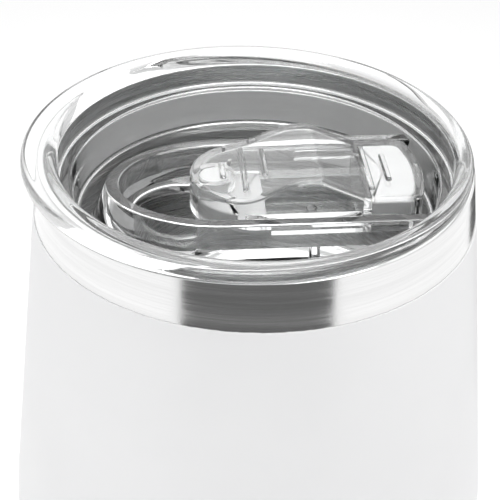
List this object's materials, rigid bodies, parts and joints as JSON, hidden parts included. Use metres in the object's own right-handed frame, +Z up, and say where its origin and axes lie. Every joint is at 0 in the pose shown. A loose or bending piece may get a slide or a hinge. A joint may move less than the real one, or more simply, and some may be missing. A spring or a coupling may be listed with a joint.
{
  "type": "insulated tumbler with lid",
  "caption": "Stemless double-wall vacuum tumbler with a bare steel rim band, a powder-coated belly and a clear press-in lid whose slider uncovers a drinking hole.",
  "frame": {"origin": "centre of the ring that the cup stands on", "axes": "+Z up the cup's axis, -X towards the lid's drinking hole, which is the way the slider closes"},
  "size_m": [0.0886, 0.0886, 0.1157],
  "materials": {
    "brushed_steel": "brushed round the axis",
    "white_coat": "fine satin powder coat",
    "copper": "bright rolled foil",
    "solder_glass": "fused, glossy",
    "getter_alloy": "sintered, matt",
    "clear_plastic": "clear, polished",
    "clear_silicone": "milky translucent",
    "white_silicone": "satin"
  },
  "bodies": {
    "tumbler": {"outer_wall": "brushed_steel", "powder_coat": "white_coat", "inner_liner": "brushed_steel", "copper_foil": "copper", "outer_base": "brushed_steel", "vacuum_seal": "solder_glass", "getter_holder": "brushed_steel", "getter_pellet": "getter_alloy", "base_plate": "brushed_steel"},
    "lid": {"lid_body": "clear_plastic", "lid_gasket": "clear_silicone"},
    "slider": {"slider_body": "clear_plastic", "drink_stopper": "white_silicone", "vent_stopper": "white_silicone"}
  },
  "joints": [
    {"name": "lid_lift", "type": "slide", "parent": "tumbler", "child": "lid", "axis": [0, 0, 1], "range_m": [0, 0.09]},
    {"name": "slider_close", "type": "slide", "parent": "lid", "child": "slider", "axis": [-1, 0, 0], "range_m": [0, 0.0113]}
  ]
}
